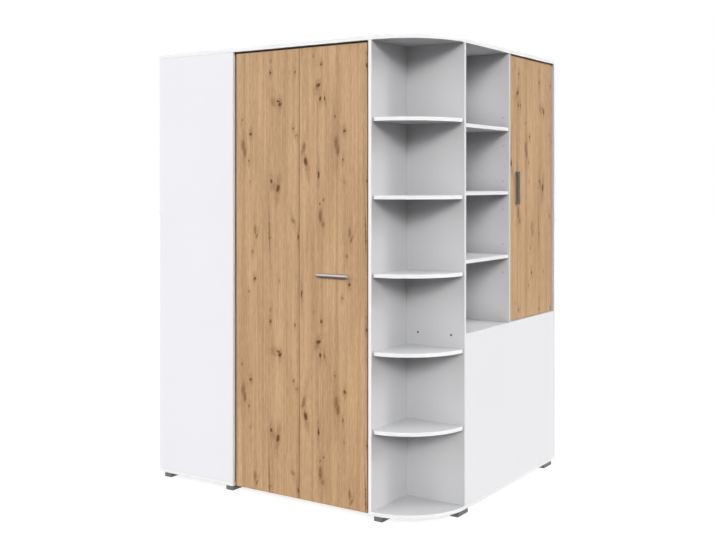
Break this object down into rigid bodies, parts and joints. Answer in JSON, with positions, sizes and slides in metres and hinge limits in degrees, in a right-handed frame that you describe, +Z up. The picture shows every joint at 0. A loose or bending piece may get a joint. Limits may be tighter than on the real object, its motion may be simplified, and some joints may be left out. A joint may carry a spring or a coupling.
{
  "type": "walk-in corner wardrobe",
  "caption": "Walk-in corner wardrobe: white hanging wing, oak folding door across the walkway, rounded corner niche, open shelves and an oak side door over a closed lower panel.",
  "frame": {"origin": "middle of the bounding box's footprint, on the floor", "axes": "+Z up, +X along the side with the folding door from the hanging wing to the rounded corner, +Y from that side towards the room's corner; the shelf side faces +X"},
  "size_m": [1.4758, 1.2458, 1.9819],
  "materials": {
    "white_melamine": "white melamine-faced chipboard, satin",
    "oak_decor": "knotty oak decor on chipboard, matt",
    "fibreboard": "white lacquered fibreboard",
    "hinge_steel": "nickel plated",
    "handle_metal": "brushed stainless look",
    "dark_plastic": "moulded",
    "grey_plastic": "moulded"
  },
  "bodies": {
    "carcass": {"top_board_left": "white_melamine", "top_board_right": "white_melamine", "bottom_board_left": "white_melamine", "bottom_board_right": "white_melamine", "left_front_panel": "white_melamine", "hinge_post": "white_melamine", "left_rear_panel": "white_melamine", "hat_shelf": "white_melamine", "clothes_rail": "hinge_steel", "niche_left_panel": "white_melamine", "niche_right_panel": "white_melamine", "end_panel": "white_melamine", "lower_front_panel": "white_melamine", "fixed_shelf": "white_melamine", "lower_partition": "white_melamine", "compartment_divider": "white_melamine", "corner_shelf_1": "white_melamine", "corner_shelf_2": "white_melamine", "corner_shelf_3": "white_melamine", "corner_shelf_4": "white_melamine", "corner_shelf_5": "white_melamine", "open_shelf_1": "white_melamine", "open_shelf_2": "white_melamine", "open_shelf_3": "white_melamine", "cupboard_shelf_1": "white_melamine", "cupboard_shelf_2": "white_melamine", "left_back_panel": "fibreboard", "walkway_back_panel": "fibreboard", "shelf_back_panel": "fibreboard", "leaf_hinge_arm_1": "hinge_steel", "leaf_hinge_arm_2": "hinge_steel", "leaf_hinge_arm_3": "hinge_steel", "leaf_hinge_arm_4": "hinge_steel", "door_track": "dark_plastic", "side_hinge_arm_1": "hinge_steel", "side_hinge_arm_2": "hinge_steel", "side_hinge_arm_3": "hinge_steel", "foot_1": "grey_plastic", "foot_2": "grey_plastic", "foot_3": "grey_plastic", "foot_4": "grey_plastic", "foot_5": "grey_plastic", "foot_6": "grey_plastic", "foot_7": "grey_plastic", "foot_8": "grey_plastic"},
    "left_leaf": {"left_leaf": "oak_decor", "leaf_hinge_cup_1": "hinge_steel", "leaf_hinge_cup_2": "hinge_steel", "leaf_hinge_cup_3": "hinge_steel", "leaf_hinge_cup_4": "hinge_steel", "fold_hinge_left": "hinge_steel"},
    "right_leaf": {"right_leaf": "oak_decor", "fold_hinge_right": "hinge_steel", "guide_roller": "dark_plastic", "fold_door_handle": "handle_metal"},
    "side_door": {"side_door": "oak_decor", "side_door_handle": "handle_metal", "side_hinge_cup_1": "hinge_steel", "side_hinge_cup_2": "hinge_steel", "side_hinge_cup_3": "hinge_steel"}
  },
  "joints": [
    {"name": "fold_door_hinge", "type": "hinge", "parent": "carcass", "child": "left_leaf", "pos_m": [-0.27406, -0.59694, 0.99], "axis": [0, 0, -1], "range_deg": [0, 85]},
    {"name": "leaf_fold", "type": "hinge", "parent": "left_leaf", "child": "right_leaf", "pos_m": [0.07394, -0.58594, 0.99], "axis": [0, 0, 1], "range_deg": [0, 170]},
    {"name": "side_door_hinge", "type": "hinge", "parent": "carcass", "child": "side_door", "pos_m": [0.71194, 0.59506, 1.358], "axis": [0, 0, 1], "range_deg": [0, 95]}
  ],
  "couplings": [
    {"joint": "leaf_fold", "follows": "fold_door_hinge", "ratio": 2}
  ]
}
